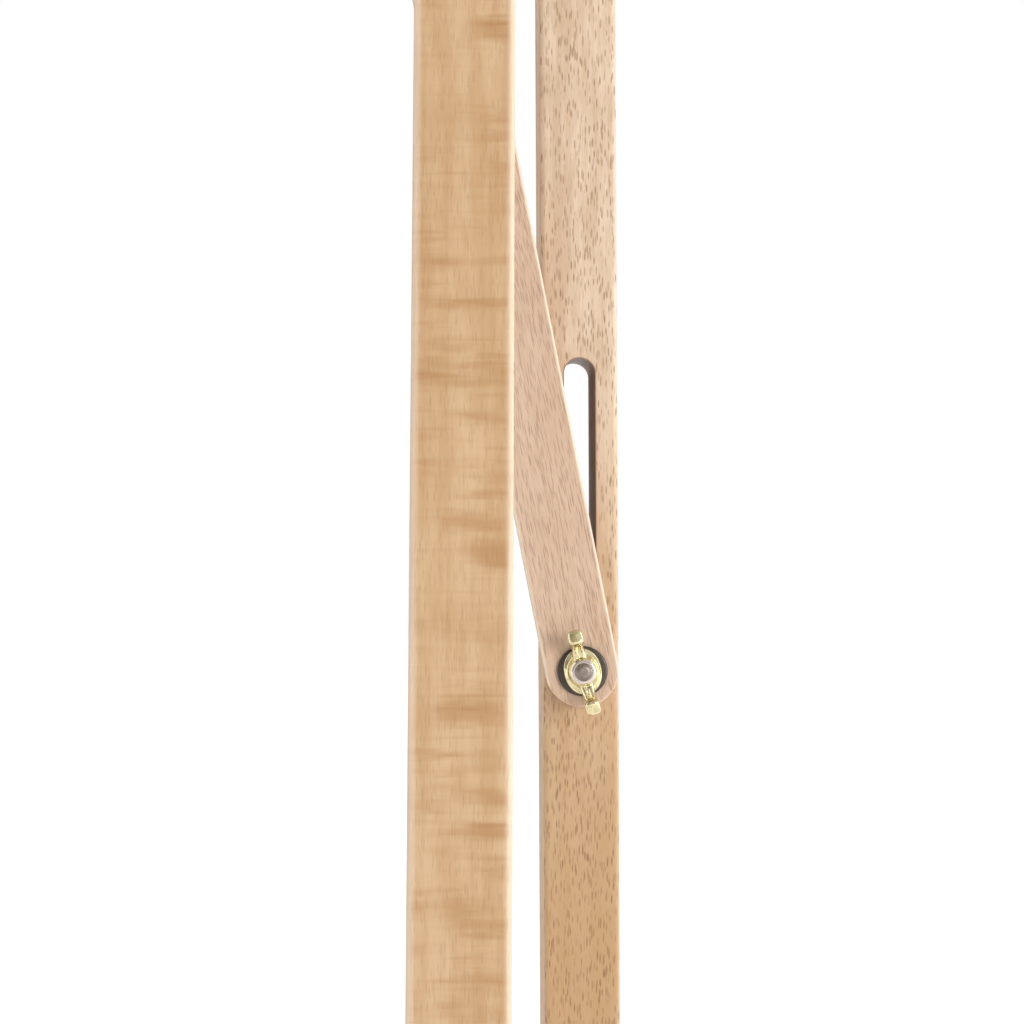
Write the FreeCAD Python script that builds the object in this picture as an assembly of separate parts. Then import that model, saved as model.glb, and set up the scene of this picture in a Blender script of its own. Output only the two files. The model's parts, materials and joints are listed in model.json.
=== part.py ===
import FreeCAD, Part
import math
import os

# Wooden A-frame artist easel, millimetres, +Z up, -Y is the painter's side.
# The front frame is drawn upright, then leant back about the floor line under its middle plane.

V = FreeCAD.Vector
AXIS_X = V(1, 0, 0)
AXIS_Y = V(0, 1, 0)
AXIS_Z = V(0, 0, 1)

# stance
FRAME_LEAN = 0.5            # degrees, top towards the rear
REAR_LEAN = 0.28            # degrees, rear foot towards the rear
LEG_SPLAY = 9.6             # degrees, each front leg outwards

# front legs
LEG_DEPTH = 26.0
LEG_WIDTH = 30.0
LEG_FOOT_X = 323.6          # outer face at the floor
FRAME_TOP = 1540.0
EDGE = 1.6                  # rounding of the long wooden edges

# cross members, between the front legs
BAR_THICK = 20.0
LOWER_BAR = (650.0, 710.0)
UPPER_BAR = (1265.0, 1335.0)
HEAD_BLOCK = (1480.0, 1540.0)

# centre rail, in front of the cross members
RAIL_WIDTH = 40.0
RAIL_DEPTH = 25.0
RAIL_BOTTOM = 578.0
RAIL_TOP = 1500.0
RAIL_SLOT = (724.0, 1000.0)
SLOT_WIDTH = 8.6

# rear leg and its hinge
HINGE_HEIGHT = 1300.0
HINGE_BACK = 30.0           # hinge axis behind the frame's middle plane
REAR_FACE = 25.0
REAR_DEPTH = 40.0
REAR_SLOT = (266.3, 380.8)
REAR_SLOT_WIDTH = 10.3
PIN_DIA = 8.0
BUSH_DIA = 10.0
PLATE = 3.0
PLATE_HEIGHT = 62.0
EAR = 2.5
EAR_BOSS = 15.0             # radius round the pin
HEX_FLATS = 13.0
HEX_HEAD = 5.3
HEX_NUT = 6.5
PIN_END = 9.0               # pin beyond the outer ear

# strut between the rail's foot and the rear leg's slot
CLAMP_HEIGHT = 278.0
PIVOT_HEIGHT = 600.8        # measured along the frame
STRUT_WIDTH = 24.0
STRUT_THICK = 8.0
SIDE_GAP = 0.3

# canvas tray
TRAY_HEIGHT = 835.0         # top of the tray block
TRAY_LENGTH = 450.0
TRAY_DEPTH = 54.0
TRAY_THICK = 15.0
TRAY_BOLT = 790.0
TRAY_BLOCK = (60.0, 20.0, 90.0)
LIP_THICK = 10.0
LIP_RISE = 12.0             # above the shelf
SLIDE_GAP = 0.4             # play beside a sliding part

# extension mast and top clamp
MAST_WIDTH = 30.0
MAST_THICK = 18.0
MAST_BOTTOM = 1060.0
MAST_TOP = 1780.0
MAST_SLOT = (1105.0, 1453.0)
MAST_BOLT = 1440.0
TOP_CLAMP = (1600.0, 1640.0)
TOP_CLAMP_WIDTH = 56.0
TOP_CLAMP_DEPTH = 46.0
HOOK_REACH = 22.0
HOOK_THICK = 12.0
HOOK_LIP = (8.0, 14.0)      # thickness, drop
GUIDE_LOW = 1350.0
GUIDE_HEIGHT = 24.0
GUIDE_SHEET = 1.5

# hardware
BOLT_DIA = 6.0
WASHER_DIA = 16.4
WASHER_THICK = 1.5
NUT_HEIGHT = 6.5
NUT_BASE = 6.9
NUT_TOP = 4.1
WING_REACH = 14.0
WING_HEIGHT = 12.6
WING_THICK = 4.4
NECK_BORE = 9.0             # washer hole that a square neck passes
NECK_GRIP = 3.5             # square neck of a bolt seated in wood
BOLT_END = 3.0              # bolt beyond its nut's hub
HEAD_RADIUS = 6.8
HEAD_RISE = 3.2
INSERT_RADIUS = 4.5
SCREW_INSET = 11.0          # from the middle of the rail or hinge plate
NUT_TURN = {"clamp": 14, "pivot": 35, "tray": 20, "mast": 60, "thumb": 75}
SCREW_LENGTH = {"leg": 58, "rail": 36, "hinge": 19, "shelf": 34, "lip": 30, "guide": 16, "hook": 34}
RUNNING = 0.05              # radial play of a pin in its bore
FLAT_GAP = 0.1

# rubber foot caps
CAP_WALL = 2.0
CAP_FLOOR = 4.0
CAP_HEIGHT = 20.0

nodes = {}


def rounded_bar(x_size, y_size, z_low, z_high, radius=EDGE):
    """A bar centred on Z with its four long edges rounded."""
    bar = Part.makeBox(x_size, y_size, z_high - z_low, V(-x_size / 2, -y_size / 2, z_low))
    long_edges = [e for e in bar.Edges if abs(e.tangentAt(0).z) > 0.99]
    return bar.makeFillet(radius, long_edges)


def plank(x_size, y_low, y_high, z_low, z_high, radius=EDGE):
    """A board across X, centred, with the edges along X rounded."""
    board = Part.makeBox(x_size, y_high - y_low, z_high - z_low, V(-x_size / 2, y_low, z_low))
    long_edges = [e for e in board.Edges if abs(e.tangentAt(0).x) > 0.99]
    return board.makeFillet(radius, long_edges)


def cylinder(radius, start, end):
    """A round bar from one point to another."""
    return Part.makeCylinder(radius, (end - start).Length, start, end - start)


def slot_cutter(axis, width, z_low, z_high, depth, centre=0.0):
    """A round-ended slot standing along Z, cut through along X or Y."""
    radius = width / 2
    side = AXIS_Y if axis is AXIS_X else AXIS_X
    low = axis * (centre - depth / 2) + V(0, 0, z_low + radius)
    high = axis * (centre - depth / 2) + V(0, 0, z_high - radius)
    arc_high = Part.Arc(high - side * radius, high + V(0, 0, radius), high + side * radius)
    arc_low = Part.Arc(low + side * radius, low - V(0, 0, radius), low - side * radius)
    right = Part.LineSegment(high + side * radius, low + side * radius)
    left = Part.LineSegment(low - side * radius, high - side * radius)
    outline = [arc_high.toShape(), right.toShape(), arc_low.toShape(), left.toShape()]
    return Part.Face(Part.Wire(Part.__sortEdges__(outline))).extrude(axis * depth)


def move(shape, offset):
    placed = shape.copy()
    placed.translate(offset)
    return placed


def turned(shape, centre, axis, angle):
    placed = shape.copy()
    placed.rotate(centre, axis, angle)
    return placed


def leant(shape):
    """Lean an upright frame part back with the whole front frame."""
    return turned(shape, V(0, 0, 0), AXIS_X, -FRAME_LEAN)


def aim(shape, origin, axis, spin=0.0):
    """Carry a part drawn along +X from the world origin to a place and direction."""
    placed = turned(shape, V(0, 0, 0), AXIS_X, spin)
    turn = FreeCAD.Rotation(AXIS_X, axis)
    placed.Placement = FreeCAD.Placement(origin, turn).multiply(placed.Placement)
    return placed


def wing_nut():
    """Hub with two upswept wings, base on the YZ plane, opening along +X."""
    hub = Part.makeCone(NUT_BASE, NUT_TOP, NUT_HEIGHT, V(0, 0, 0), AXIS_X)
    collar = cylinder(NUT_BASE, V(0, 0, 0), V(1.2, 0, 0))
    root_low = V(1.2, 0, 3.2)
    elbow_low = V(2.2, 0, 8.2)
    tip_low = V(8.4, 0, WING_REACH)
    tip_end = V(WING_HEIGHT, 0, WING_REACH - 1.6)
    tip_high = V(11.2, 0, 9.6)
    elbow_high = V(6.3, 0, 5.4)
    root_high = V(6.0, 0, 3.2)
    outline = [
        Part.makeLine(root_low, elbow_low),
        Part.makeLine(elbow_low, tip_low),
        Part.Arc(tip_low, V(11.2, 0, WING_REACH + 0.2), tip_end).toShape(),
        Part.makeLine(tip_end, tip_high),
        Part.makeLine(tip_high, elbow_high),
        Part.makeLine(elbow_high, root_high),
        Part.makeLine(root_high, root_low),
    ]
    blade = Part.Face(Part.Wire(outline)).extrude(V(0, WING_THICK, 0))
    blade = move(blade, V(0, -WING_THICK / 2, 0))
    other = turned(blade, V(0, 0, 0), AXIS_X, 180)
    body = hub.fuse([collar, blade, other]).removeSplitter()
    bore = cylinder(BOLT_DIA / 2 + RUNNING, V(-1, 0, 0), V(NUT_HEIGHT + 8, 0, 0))
    return body.cut(bore)


def washer(bore_dia):
    """Flat ring standing on the YZ plane."""
    ring = cylinder(WASHER_DIA / 2, V(0, 0, 0), V(WASHER_THICK, 0, 0))
    return ring.cut(cylinder(bore_dia / 2, V(-1, 0, 0), V(WASHER_THICK + 1, 0, 0)))


def carriage_bolt(grip, end):
    """Domed head behind the YZ plane, shank along +X; grip is left to the square neck."""
    sphere_radius = (HEAD_RADIUS ** 2 + HEAD_RISE ** 2) / (2 * HEAD_RISE)
    ball = Part.makeSphere(sphere_radius, V(sphere_radius - HEAD_RISE, 0, 0))
    front = Part.makeBox(20, 40, 40, V(-20, -20, -20))
    dome = ball.common(front)
    neck = Part.makeBox(grip, BOLT_DIA, BOLT_DIA, V(0, -BOLT_DIA / 2, -BOLT_DIA / 2))
    shank = cylinder(BOLT_DIA / 2, V(0, 0, 0), V(end, 0, 0))
    shank = shank.makeChamfer(0.6, [e for e in shank.Edges if e.CenterOfMass.x > end - 0.1])
    return dome.fuse([neck, shank]).removeSplitter()


def wood_screw(length):
    """Countersunk screw with its flat head flush on the YZ plane, pointing along +X."""
    head = Part.makeCone(4.0, 2.0, 2.6, V(0, 0, 0), AXIS_X)
    body = cylinder(2.0, V(2.6, 0, 0), V(length - 5, 0, 0))
    point = Part.makeCone(2.0, 0.4, 5, V(length - 5, 0, 0), AXIS_X)
    drive = Part.makeBox(1.2, 4.6, 1.0, V(0, -2.3, -0.5))
    cross = Part.makeBox(1.2, 1.0, 4.6, V(0, -0.5, -2.3))
    plain = head.fuse([body, point]).removeSplitter()
    return plain, plain.cut(drive.fuse(cross))


def set_screws(places, length):
    """Screws at (origin, direction) places: the group, and the solid to cut from the wood."""
    plain, driven = wood_screw(length)
    cutter = Part.makeCompound([aim(plain, origin, axis) for origin, axis in places])
    group = Part.makeCompound([aim(driven, origin, axis) for origin, axis in places])
    return group, cutter


def leg_inner_x(height):
    """Inner face of a front leg at a height in the upright frame."""
    slope = math.tan(math.radians(LEG_SPLAY))
    return LEG_FOOT_X - LEG_WIDTH / math.cos(math.radians(LEG_SPLAY)) - height * slope


def front_leg(side):
    """Splayed leg; side is +1 or -1. Its ends are cut level."""
    bar = rounded_bar(LEG_WIDTH, LEG_DEPTH, -40, FRAME_TOP + 80)
    bar = move(bar, V(-LEG_WIDTH / 2, 0, 0))
    bar = turned(bar, V(0, 0, 0), AXIS_Y, -LEG_SPLAY)
    bar = move(bar, V(LEG_FOOT_X, 0, 0))
    bar = bar.cut(Part.makeBox(400, 100, 200, V(-100, -50, FRAME_TOP)))
    if side < 0:
        bar = bar.mirror(V(0, 0, 0), AXIS_X)
    bar = leant(bar)
    return bar.cut(Part.makeBox(900, 200, 100, V(-450, -100, CAP_FLOOR - 100)))


def foot_cap(section_x, section_y, splay, lean, centre_x, centre_y, side=1):
    """Rubber cap round a leg's foot, flat on the floor, walls following the leg."""
    outer = rounded_bar(section_x + 2 * CAP_WALL, section_y + 2 * CAP_WALL, -60, 60, EDGE + CAP_WALL)
    inner = rounded_bar(section_x, section_y, -60, 80)
    floor = Part.makeBox(900, 300, CAP_HEIGHT, V(-450, -150, 0))
    hollow = Part.makeBox(900, 300, 200, V(-450, -150, CAP_FLOOR))
    shapes = []
    for shape in (outer, inner):
        shape = move(shape, V(-section_x / 2 if splay else 0, 0, 0))
        shape = turned(shape, V(0, 0, 0), AXIS_Y, -splay)
        shape = move(shape, V(centre_x, 0, 0))
        if side < 0:
            shape = shape.mirror(V(0, 0, 0), AXIS_X)
        shape = turned(shape, V(0, 0, 0), AXIS_X, lean)
        shapes.append(move(shape, V(0, centre_y, 0)))
    return shapes[0].common(floor).cut(shapes[1].common(hollow))


def cross_bar(span):
    """Board between the front legs, ends cut to their splay."""
    low, high = span
    half = BAR_THICK / 2
    corners = [
        V(-leg_inner_x(low), -half, low),
        V(leg_inner_x(low), -half, low),
        V(leg_inner_x(high), -half, high),
        V(-leg_inner_x(high), -half, high),
    ]
    face = Part.Face(Part.makePolygon(corners + corners[:1]))
    bar = face.extrude(V(0, BAR_THICK, 0))
    long_edges = [e for e in bar.Edges if abs(e.tangentAt(0).x) > 0.99]
    return bar.makeFillet(EDGE, long_edges)


def build_frame():
    """Front legs, cross members, rail and their screws."""
    bars = {
        "lower_crossbar": cross_bar(LOWER_BAR),
        "upper_crossbar": cross_bar(UPPER_BAR),
        "head_block": cross_bar(HEAD_BLOCK),
    }
    legs = {"left_front_leg": front_leg(-1), "right_front_leg": front_leg(1)}

    # leg screws run level through each leg into the end of a cross member
    places = []
    slope = math.tan(math.radians(LEG_SPLAY))
    for low, high in (LOWER_BAR, UPPER_BAR, HEAD_BLOCK):
        inset = (high - low) / 4
        for height in (low + inset, high - inset):
            face_x = LEG_FOOT_X - height * slope
            for side in (1, -1):
                places.append((V(side * face_x, 0, height), V(-side, 0, 0)))
    leg_screws, leg_cut = set_screws(places, SCREW_LENGTH["leg"])

    # rail screws run forward through each cross member into the rail
    places = []
    for low, high in (LOWER_BAR, UPPER_BAR):
        for x in (-SCREW_INSET, SCREW_INSET):
            places.append((V(x, BAR_THICK / 2, (low + high) / 2), V(0, -1, 0)))
    rail_screws, rail_cut = set_screws(places, SCREW_LENGTH["rail"])

    rail_y = -(BAR_THICK + RAIL_DEPTH) / 2
    rail = move(rounded_bar(RAIL_WIDTH, RAIL_DEPTH, RAIL_BOTTOM, RAIL_TOP), V(0, rail_y, 0))
    rail = rail.cut(slot_cutter(AXIS_Y, SLOT_WIDTH, *RAIL_SLOT, RAIL_DEPTH + 20, rail_y))
    bore = BOLT_DIA / 2 + RUNNING
    rail = rail.cut(cylinder(bore, V(-40, rail_y, PIVOT_HEIGHT), V(40, rail_y, PIVOT_HEIGHT)))
    rail = rail.cut(cylinder(bore, V(0, -60, MAST_BOLT), V(0, 20, MAST_BOLT)))
    rail = rail.cut(square_neck_pocket(V(0, -BAR_THICK / 2, MAST_BOLT), V(0, -1, 0)))
    rail = rail.cut(square_neck_pocket(V(-RAIL_WIDTH / 2, rail_y, PIVOT_HEIGHT), AXIS_X))
    rail = rail.cut(rail_cut)

    for name, bar in bars.items():
        nodes[name] = leant(bar.cut(leg_cut).cut(rail_cut))
    for name, leg in legs.items():
        nodes[name] = leg.cut(leant(leg_cut))
    nodes["centre_rail"] = leant(rail)
    nodes["leg_screws"] = leant(leg_screws)
    nodes["rail_screws"] = leant(rail_screws)
    for name, side in (("left_foot_cap", -1), ("right_foot_cap", 1)):
        nodes[name] = foot_cap(LEG_WIDTH, LEG_DEPTH, LEG_SPLAY, -FRAME_LEAN, LEG_FOOT_X, 0, side)
    return rail_y


def square_neck_pocket(origin, axis):
    """Square hole that a carriage bolt's neck is pulled into."""
    half = BOLT_DIA / 2 + RUNNING
    return aim(Part.makeBox(3.6, 2 * half, 2 * half, V(-0.1, -half, -half)), origin, axis)


def leant_point(point):
    """A point of the upright frame where it stands once the frame is leant back."""
    lean = math.radians(-FRAME_LEAN)
    y = point.y * math.cos(lean) - point.z * math.sin(lean)
    z = point.y * math.sin(lean) + point.z * math.cos(lean)
    return V(point.x, y, z)


def hinge_axis():
    """World place of the rear leg's hinge axis."""
    return leant_point(V(0, HINGE_BACK, HINGE_HEIGHT))


def rear_leg_y(height):
    """Middle line of the rear leg at a height above the floor."""
    axis = hinge_axis()
    return axis.y + (axis.z - height) * math.tan(math.radians(REAR_LEAN))


def build_hinge():
    """Steel bracket on the upper cross member, and the pin that the rear leg swings on."""
    ear_in = REAR_DEPTH / 2 + SIDE_GAP
    ear_out = ear_in + EAR
    plate_low = BAR_THICK / 2
    plate_high = plate_low + PLATE
    middle = HINGE_HEIGHT
    plate = Part.makeBox(2 * ear_out, PLATE, PLATE_HEIGHT, V(-ear_out, plate_low, middle - PLATE_HEIGHT / 2))
    upright_edges = [e for e in plate.Edges if abs(e.tangentAt(0).y) > 0.99]
    plate = plate.makeFillet(3, upright_edges)
    bracket = plate
    for side in (1, -1):
        x_low = ear_in if side > 0 else -ear_out
        web_low = plate_high - EAR / 5
        web = Part.makeBox(EAR, HINGE_BACK - web_low, 2 * EAR_BOSS, V(x_low, web_low, middle - EAR_BOSS))
        boss = cylinder(EAR_BOSS, V(x_low, HINGE_BACK, middle), V(x_low + EAR, HINGE_BACK, middle))
        bracket = bracket.fuse([web, boss])
    bracket = bracket.removeSplitter()
    bracket = bracket.cut(cylinder(PIN_DIA / 2, V(-60, HINGE_BACK, middle), V(60, HINGE_BACK, middle)))
    places = []
    rise = PLATE_HEIGHT / 2 - 8
    for x in (-SCREW_INSET, SCREW_INSET):
        for z in (-rise, rise):
            places.append((V(x, plate_high, middle + z), V(0, -1, 0)))
    screws, cutter = set_screws(places, SCREW_LENGTH["hinge"])
    bracket = bracket.cut(cutter)
    nodes["upper_crossbar"] = nodes["upper_crossbar"].cut(leant(cutter))
    nodes["hinge_bracket"] = leant(bracket)
    nodes["hinge_bracket_screws"] = leant(screws)


def build_rear_leg():
    """Slotted rear leg with its bushing, pin and foot cap."""
    axis = hinge_axis()
    face_radius = REAR_FACE / 2
    leg = rounded_bar(REAR_DEPTH, REAR_FACE, -axis.z - 40, 0)
    top = cylinder(face_radius, V(-REAR_DEPTH / 2, 0, 0), V(REAR_DEPTH / 2, 0, 0))
    top_rims = [e for e in top.Edges if e.Closed and e.CenterOfMass.Length > 1]
    top = top.makeFillet(EDGE, top_rims)
    leg = leg.fuse(top).removeSplitter()
    slot = slot_cutter(AXIS_X, REAR_SLOT_WIDTH, REAR_SLOT[0] - axis.z, REAR_SLOT[1] - axis.z, REAR_DEPTH + 20)
    leg = leg.cut(slot)
    leg = leg.cut(cylinder(BUSH_DIA / 2, V(-60, 0, 0), V(60, 0, 0)))
    leg = move(turned(leg, V(0, 0, 0), AXIS_X, REAR_LEAN), axis)
    nodes["rear_leg"] = leg.cut(Part.makeBox(900, 400, 200, V(-450, -200, CAP_FLOOR - 200)))
    foot_y = rear_leg_y(0)
    nodes["rear_foot_cap"] = foot_cap(REAR_DEPTH, REAR_FACE, 0, REAR_LEAN, 0, foot_y)

    half = REAR_DEPTH / 2
    bush = cylinder(BUSH_DIA / 2, V(-half, 0, 0), V(half, 0, 0))
    bush = bush.cut(cylinder(PIN_DIA / 2 + RUNNING, V(-60, 0, 0), V(60, 0, 0)))
    nodes["hinge_bushing"] = move(bush, axis)

    ear_out = half + SIDE_GAP + EAR
    pin = cylinder(PIN_DIA / 2, V(-ear_out, 0, 0), V(ear_out + PIN_END, 0, 0))
    pin_end = [e for e in pin.Edges if e.CenterOfMass.x > ear_out + PIN_END - 0.1]
    pin = pin.makeChamfer(0.8, pin_end)
    nodes["hinge_bolt"] = move(pin.fuse(hex_solid(HEX_FLATS, HEX_HEAD, -ear_out - HEX_HEAD)), axis)
    nut = hex_solid(HEX_FLATS, HEX_NUT, ear_out)
    nodes["hinge_lock_nut"] = move(nut.cut(cylinder(PIN_DIA / 2, V(-60, 0, 0), V(60, 0, 0))), axis)


def hex_solid(across_flats, height, x_low):
    """Hexagonal head or nut along X, its six outer corners turned off."""
    corner = across_flats / math.sqrt(3)
    points = []
    for i in range(7):
        angle = math.radians(60 * i)
        points.append(V(x_low, corner * math.cos(angle), corner * math.sin(angle)))
    prism = Part.Face(Part.makePolygon(points)).extrude(V(height, 0, 0))
    drum = Part.makeCylinder(corner, height, V(x_low, 0, 0), AXIS_X)
    drum = drum.makeChamfer(0.7, [e for e in drum.Edges if e.Closed])
    return prism.common(drum)


def build_strut(rail_y):
    """Flat strut from the rail to the rear leg's slot, with both sets of clamping hardware."""
    pivot = leant_point(V(0, rail_y, PIVOT_HEIGHT))
    clamp = V(0, rear_leg_y(CLAMP_HEIGHT), CLAMP_HEIGHT)
    length = (pivot - clamp).Length
    swing = math.degrees(math.atan2(clamp.y - pivot.y, pivot.z - clamp.z))
    inner_x = REAR_DEPTH / 2 + SIDE_GAP
    outer_x = inner_x + STRUT_THICK
    radius = STRUT_WIDTH / 2
    blank = Part.makeBox(STRUT_THICK, STRUT_WIDTH, length, V(inner_x, -radius, -length))
    for z in (0, -length):
        blank = blank.fuse(cylinder(radius, V(inner_x, 0, z), V(outer_x, 0, z)))
    blank = blank.removeSplitter()
    rims = [e for e in blank.Edges if abs(e.BoundBox.XLength) < 0.01]
    strut = blank.makeFillet(0.9, rims)
    bore = BOLT_DIA / 2 + RUNNING
    strut = strut.cut(cylinder(bore, V(0, 0, 0), V(60, 0, 0)))
    strut = strut.cut(cylinder(BOLT_DIA / 2, V(0, 0, -length), V(60, 0, -length)))
    nodes["strut"] = move(turned(strut, V(0, 0, 0), AXIS_X, swing), pivot)

    # lower clamp: the bolt crosses the rear leg's slot and rides with the strut
    span = outer_x + WASHER_THICK
    head_x = -inner_x - WASHER_THICK
    bolt = carriage_bolt(WASHER_THICK, span - head_x + FLAT_GAP + NUT_HEIGHT + BOLT_END)
    nodes["clamp_bolt"] = aim(bolt, V(head_x, clamp.y, clamp.z), AXIS_X)
    nodes["clamp_back_washer"] = aim(washer(NECK_BORE), V(head_x, clamp.y, clamp.z), AXIS_X)
    nodes["clamp_washer"] = aim(washer(BOLT_DIA), V(outer_x, clamp.y, clamp.z), AXIS_X)
    nodes["clamp_wing_nut"] = aim(wing_nut(), V(span + FLAT_GAP, clamp.y, clamp.z), AXIS_X, NUT_TURN["clamp"])

    # upper pivot: the bolt is held by the rail, with a spacer between rail and strut
    rail_side = RAIL_WIDTH / 2
    bolt = carriage_bolt(NECK_GRIP, rail_side + span + FLAT_GAP + NUT_HEIGHT + BOLT_END)
    nodes["pivot_bolt"] = aim(bolt, V(-rail_side, pivot.y, pivot.z), AXIS_X)
    nodes["pivot_bolt"] = turned(nodes["pivot_bolt"], pivot, AXIS_X, -FRAME_LEAN)
    nodes["pivot_washer"] = aim(washer(BOLT_DIA), V(outer_x + FLAT_GAP, pivot.y, pivot.z), AXIS_X)
    nut_x = outer_x + WASHER_THICK + 2 * FLAT_GAP
    nodes["pivot_wing_nut"] = aim(wing_nut(), V(nut_x, pivot.y, pivot.z), AXIS_X, NUT_TURN["pivot"])
    return pivot, clamp


def build_tray():
    """Canvas tray: block and cheeks on the rail, shelf, lip, bolt and wing nut."""
    rail_front = -BAR_THICK / 2 - RAIL_DEPTH
    block_back = rail_front - SIDE_GAP
    width, depth, height = TRAY_BLOCK
    block_front = block_back - depth
    block_low = TRAY_HEIGHT - height
    block = Part.makeBox(width, depth, height, V(-width / 2, block_front, block_low))
    upright = [e for e in block.Edges if abs(e.tangentAt(0).z) > 0.99 and e.CenterOfMass.y < block_back - 1]
    block = block.makeFillet(EDGE, upright)
    block = block.cut(cylinder(BOLT_DIA / 2, V(0, -90, TRAY_BOLT), V(0, 20, TRAY_BOLT)))
    cheek_in = RAIL_WIDTH / 2 + SLIDE_GAP
    cheek_width = width / 2 - cheek_in
    for name, x_low in (("tray_left_cheek", -width / 2), ("tray_right_cheek", cheek_in)):
        cheek = Part.makeBox(cheek_width, depth, height, V(x_low, block_back, block_low))
        nodes[name] = leant(cheek)
    nodes["tray_block"] = leant(block)

    shelf_back = block_back
    shelf_front = shelf_back - TRAY_DEPTH
    shelf_top = TRAY_HEIGHT + TRAY_THICK
    shelf = plank(TRAY_LENGTH, shelf_front, shelf_back, TRAY_HEIGHT, shelf_top)
    lip = plank(TRAY_LENGTH, shelf_front - LIP_THICK, shelf_front, TRAY_HEIGHT, shelf_top + LIP_RISE)
    places = [(V(x, block_back - depth / 2, shelf_top), V(0, 0, -1)) for x in (-width / 3, width / 3)]
    shelf_screws, shelf_cut = set_screws(places, SCREW_LENGTH["shelf"])
    lip_z = TRAY_HEIGHT + TRAY_THICK / 2
    places = [(V(x, shelf_front - LIP_THICK, lip_z), V(0, 1, 0)) for x in (-190, -65, 65, 190)]
    lip_screws, lip_cut = set_screws(places, SCREW_LENGTH["lip"])
    nodes["tray_shelf"] = leant(shelf.cut(shelf_cut).cut(lip_cut))
    nodes["tray_lip"] = leant(lip.cut(lip_cut))
    nodes["tray_block"] = nodes["tray_block"].cut(leant(shelf_cut))
    nodes["tray_screws"] = leant(Part.makeCompound([shelf_screws, lip_screws]))

    head_y = -BAR_THICK / 2 + WASHER_THICK + SIDE_GAP
    reach = head_y - block_front
    bolt = carriage_bolt(WASHER_THICK, reach + WASHER_THICK + FLAT_GAP + NUT_HEIGHT + BOLT_END)
    nodes["tray_bolt"] = leant(aim(bolt, V(0, head_y, TRAY_BOLT), V(0, -1, 0)))
    nodes["tray_back_washer"] = leant(aim(washer(NECK_BORE), V(0, head_y, TRAY_BOLT), V(0, -1, 0)))
    nodes["tray_washer"] = leant(aim(washer(BOLT_DIA), V(0, block_front, TRAY_BOLT), V(0, -1, 0)))
    nut_y = block_front - WASHER_THICK - FLAT_GAP
    nodes["tray_wing_nut"] = leant(aim(wing_nut(), V(0, nut_y, TRAY_BOLT), V(0, -1, 0), NUT_TURN["tray"]))


def build_mast():
    """Sliding mast in front of the rail, its guide, bolt and wing nut."""
    rail_front = -BAR_THICK / 2 - RAIL_DEPTH
    mast_back = rail_front - SIDE_GAP
    mast_front = mast_back - MAST_THICK
    mast_y = (mast_back + mast_front) / 2
    mast = move(rounded_bar(MAST_WIDTH, MAST_THICK, MAST_BOTTOM, MAST_TOP), V(0, mast_y, 0))
    mast = mast.cut(slot_cutter(AXIS_Y, SLOT_WIDTH, *MAST_SLOT, MAST_THICK + 20, mast_y))
    nodes["mast"] = leant(mast)

    grip = -BAR_THICK / 2 - mast_front
    bolt = carriage_bolt(NECK_GRIP, grip + WASHER_THICK + 2 * FLAT_GAP + NUT_HEIGHT + BOLT_END)
    nodes["mast_bolt"] = leant(aim(bolt, V(0, -BAR_THICK / 2, MAST_BOLT), V(0, -1, 0)))
    washer_y = mast_front - FLAT_GAP
    nodes["mast_washer"] = leant(aim(washer(BOLT_DIA), V(0, washer_y, MAST_BOLT), V(0, -1, 0)))
    nut_y = washer_y - WASHER_THICK - FLAT_GAP
    nodes["mast_wing_nut"] = leant(aim(wing_nut(), V(0, nut_y, MAST_BOLT), V(0, -1, 0), NUT_TURN["mast"]))

    # guide strap round the mast, spacers each side of it
    strap_in = mast_front - SLIDE_GAP
    half = RAIL_WIDTH / 2
    outside = half + GUIDE_SHEET
    outer = Part.makeBox(2 * outside, 40, GUIDE_HEIGHT, V(-outside, strap_in - GUIDE_SHEET, GUIDE_LOW))
    inner = Part.makeBox(2 * half, 60, GUIDE_HEIGHT, V(-half, strap_in, GUIDE_LOW))
    strap = outer.cut(inner)
    screw_z = GUIDE_LOW + GUIDE_HEIGHT / 2
    places = [(V(side * outside, rail_front + 10, screw_z), V(-side, 0, 0)) for side in (1, -1)]
    screws, cutter = set_screws(places, SCREW_LENGTH["guide"])
    spacer_in = MAST_WIDTH / 2 + SLIDE_GAP
    spacers = []
    for x_low in (-half, spacer_in):
        depth = rail_front - strap_in
        spacers.append(Part.makeBox(half - spacer_in, depth, GUIDE_HEIGHT, V(x_low, strap_in, GUIDE_LOW)))
    nodes["mast_guide"] = leant(strap.cut(cutter))
    nodes["mast_guide_spacers"] = leant(Part.makeCompound(spacers))
    nodes["mast_guide_screws"] = leant(screws)
    nodes["centre_rail"] = nodes["centre_rail"].cut(leant(cutter))
    return mast_y


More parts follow.
